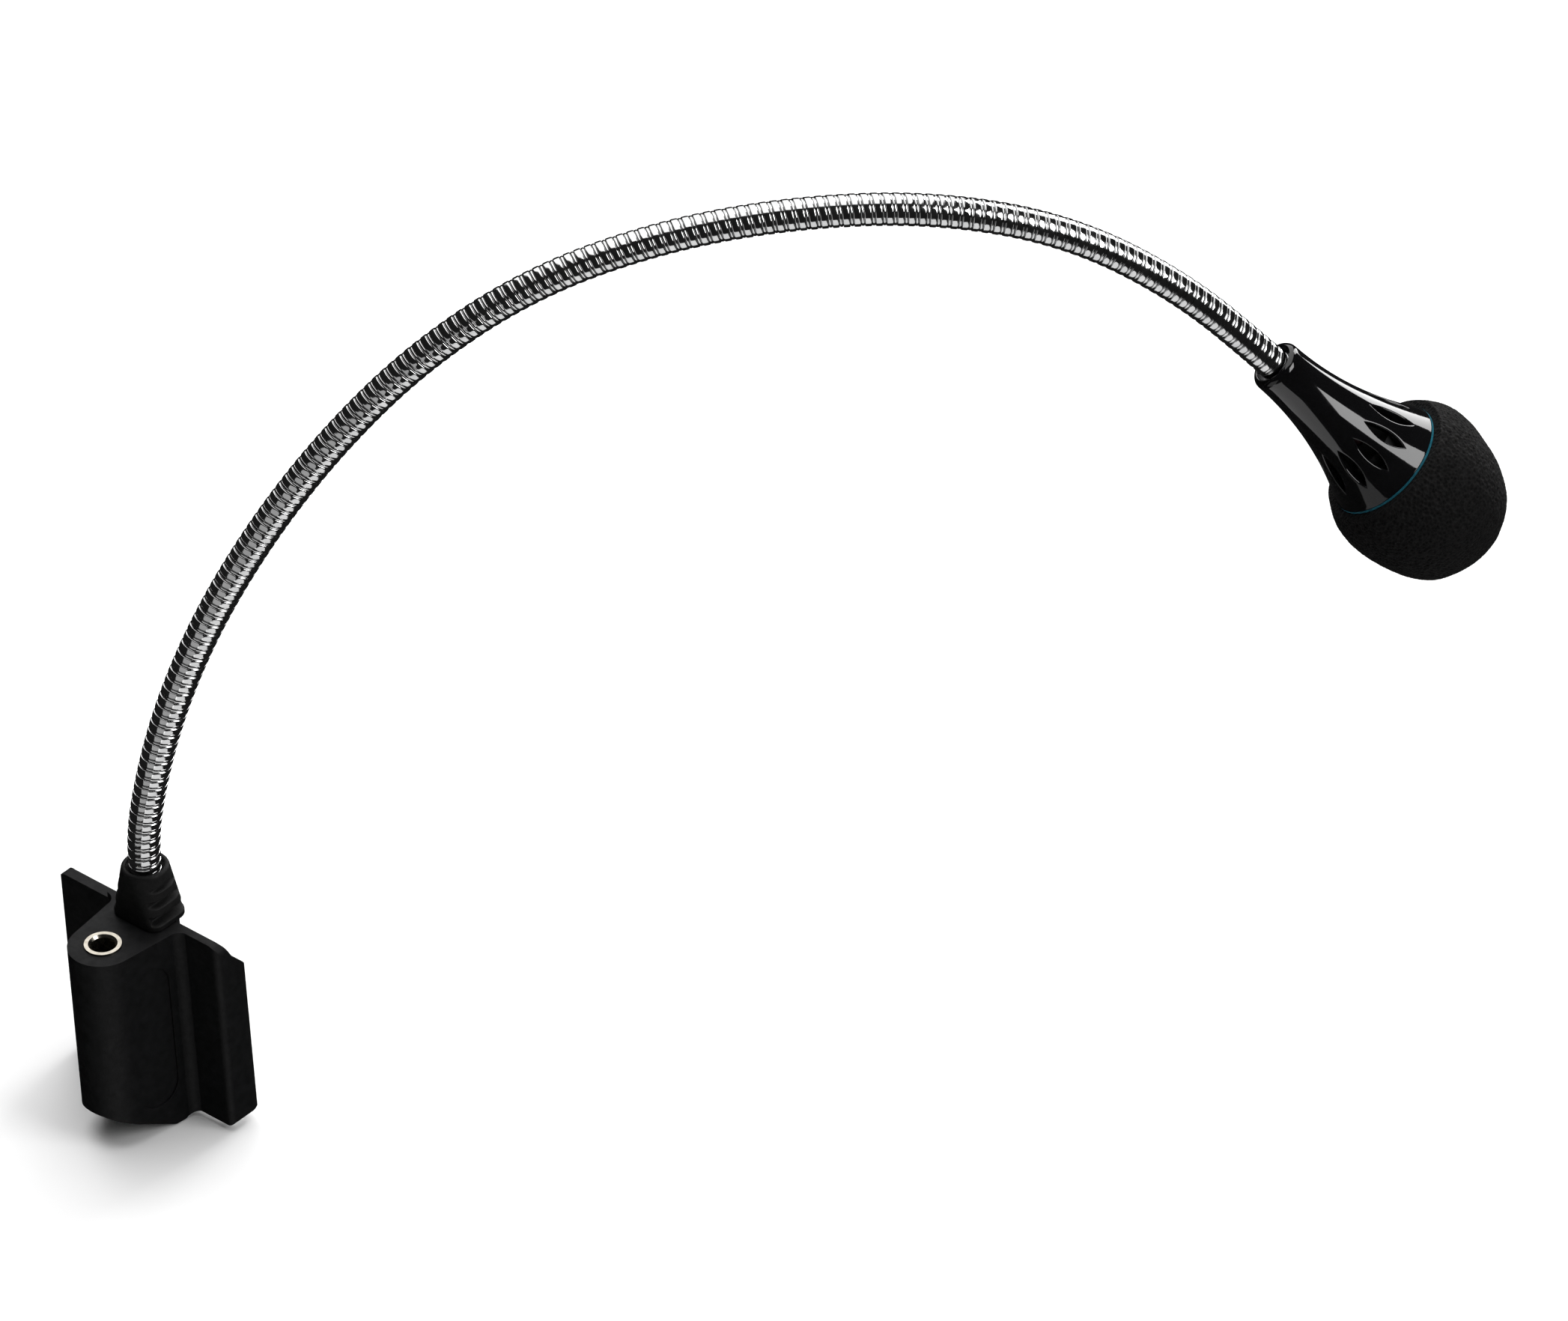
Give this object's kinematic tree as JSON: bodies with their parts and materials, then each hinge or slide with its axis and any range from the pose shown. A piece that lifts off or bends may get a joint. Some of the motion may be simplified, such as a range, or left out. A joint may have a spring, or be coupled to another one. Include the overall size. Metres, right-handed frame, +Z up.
{
  "type": "gooseneck microphone",
  "caption": "Gooseneck podium microphone: flared head with ball windscreen on a flexible metal neck, and a slide-on base with a plug socket.",
  "frame": {"origin": "on the mounting seat, which is the plate's back face between the two flanges, in the middle plane of the socket and neck", "axes": "+Y out of the seat towards the surface it hangs on, +Z up the base along the socket and the start of the neck, +X towards the right flange"},
  "size_m": [0.1513, 0.1711, 0.1448],
  "materials": {
    "base_plastic": "fine moulded texture",
    "inner_plastic": "plain moulded",
    "gloss_black": "high gloss",
    "boot_rubber": "soft satin",
    "sleeve_rubber": "soft matte",
    "cable_jacket": "satin",
    "neck_chrome": "bright plated wound strip",
    "nickel": "bright nickel",
    "ferrule_steel": "turned",
    "contact_brass": "plated",
    "capsule_metal": "drawn",
    "board": "solder mask",
    "wire": "insulation",
    "teal_ring": "satin",
    "felt": "felt",
    "foam": "open-cell foam"
  },
  "bodies": {
    "base": {"base_housing": "base_plastic", "bottom_cover": "base_plastic", "jack_bushing": "nickel", "jack_body": "inner_plastic", "jack_tip_contact": "contact_brass", "jack_ring_contact": "contact_brass", "jack_board": "board", "lead_wires": "wire", "strain_relief_boot": "boot_rubber", "root_ferrule": "ferrule_steel", "root_grub_screw": "ferrule_steel", "neck_link_00": "neck_chrome", "cable_core_00": "cable_jacket"},
    "neck_01": {"neck_link_01": "neck_chrome", "cable_core_01": "cable_jacket"},
    "neck_02": {"neck_link_02": "neck_chrome", "cable_core_02": "cable_jacket"},
    "neck_03": {"neck_link_03": "neck_chrome", "cable_core_03": "cable_jacket"},
    "neck_04": {"neck_link_04": "neck_chrome", "cable_core_04": "cable_jacket"},
    "neck_05": {"neck_link_05": "neck_chrome", "cable_core_05": "cable_jacket"},
    "neck_06": {"neck_link_06": "neck_chrome", "cable_core_06": "cable_jacket"},
    "neck_07": {"neck_link_07": "neck_chrome", "cable_core_07": "cable_jacket"},
    "neck_08": {"neck_link_08": "neck_chrome", "cable_core_08": "cable_jacket"},
    "neck_09": {"neck_link_09": "neck_chrome", "cable_core_09": "cable_jacket"},
    "neck_10": {"neck_link_10": "neck_chrome", "cable_core_10": "cable_jacket"},
    "neck_11": {"neck_link_11": "neck_chrome", "cable_core_11": "cable_jacket"},
    "head": {"neck_link_12": "neck_chrome", "cable_core_12": "cable_jacket", "head_ferrule": "ferrule_steel", "head_shell": "gloss_black", "rim_ring": "teal_ring", "capsule_basket": "inner_plastic", "capsule_sleeve": "sleeve_rubber", "capsule_can": "capsule_metal", "capsule_board": "board", "capsule_felt": "felt", "head_leads": "wire", "foam_windscreen": "foam"}
  },
  "joints": [
    {"name": "neck_bend_01", "type": "hinge", "parent": "base", "child": "neck_01", "pos_m": [0.00063, -0.00055, 0.04073], "axis": [-0.766, 0.6428, 0], "range_deg": [-45, 12]},
    {"name": "neck_sway_02", "type": "hinge", "parent": "neck_01", "child": "neck_02", "pos_m": [0.00415, 0.00365, 0.05953], "axis": [0.6001, 0.7152, -0.3584], "range_deg": [-25, 25]},
    {"name": "neck_bend_03", "type": "hinge", "parent": "neck_02", "child": "neck_03", "pos_m": [0.00957, 0.0101, 0.0772], "axis": [-0.766, 0.6428, 0], "range_deg": [-45, 12]},
    {"name": "neck_sway_04", "type": "hinge", "parent": "neck_03", "child": "neck_04", "pos_m": [0.01656, 0.01844, 0.09349], "axis": [0.51, 0.6077, -0.6088], "range_deg": [-25, 25]},
    {"name": "neck_bend_05", "type": "hinge", "parent": "neck_04", "child": "neck_05", "pos_m": [0.02495, 0.02843, 0.1081], "axis": [-0.766, 0.6428, 0], "range_deg": [-45, 12]},
    {"name": "neck_sway_06", "type": "hinge", "parent": "neck_05", "child": "neck_06", "pos_m": [0.03489, 0.04028, 0.12007], "axis": [0.3359, 0.4003, -0.8526], "range_deg": [-25, 25]},
    {"name": "neck_bend_07", "type": "hinge", "parent": "neck_06", "child": "neck_07", "pos_m": [0.0464, 0.054, 0.12786], "axis": [-0.766, 0.6428, 0], "range_deg": [-45, 12]},
    {"name": "neck_sway_08", "type": "hinge", "parent": "neck_07", "child": "neck_08", "pos_m": [0.05881, 0.06878, 0.13109], "axis": [0.0392, 0.0468, -0.9981], "range_deg": [-25, 25]},
    {"name": "neck_bend_09", "type": "hinge", "parent": "neck_08", "child": "neck_09", "pos_m": [0.07139, 0.08377, 0.13058], "axis": [-0.766, 0.6428, 0], "range_deg": [-45, 12]},
    {"name": "neck_sway_10", "type": "hinge", "parent": "neck_09", "child": "neck_10", "pos_m": [0.08361, 0.09834, 0.12601], "axis": [-0.2251, -0.2683, -0.9367], "range_deg": [-25, 25]},
    {"name": "neck_bend_11", "type": "hinge", "parent": "neck_10", "child": "neck_11", "pos_m": [0.09453, 0.11135, 0.1164], "axis": [-0.766, 0.6428, 0], "range_deg": [-45, 12]},
    {"name": "neck_sway_12", "type": "hinge", "parent": "neck_11", "child": "head", "pos_m": [0.10346, 0.12199, 0.10263], "axis": [-0.4995, -0.5953, -0.6293], "range_deg": [-25, 25]}
  ]
}
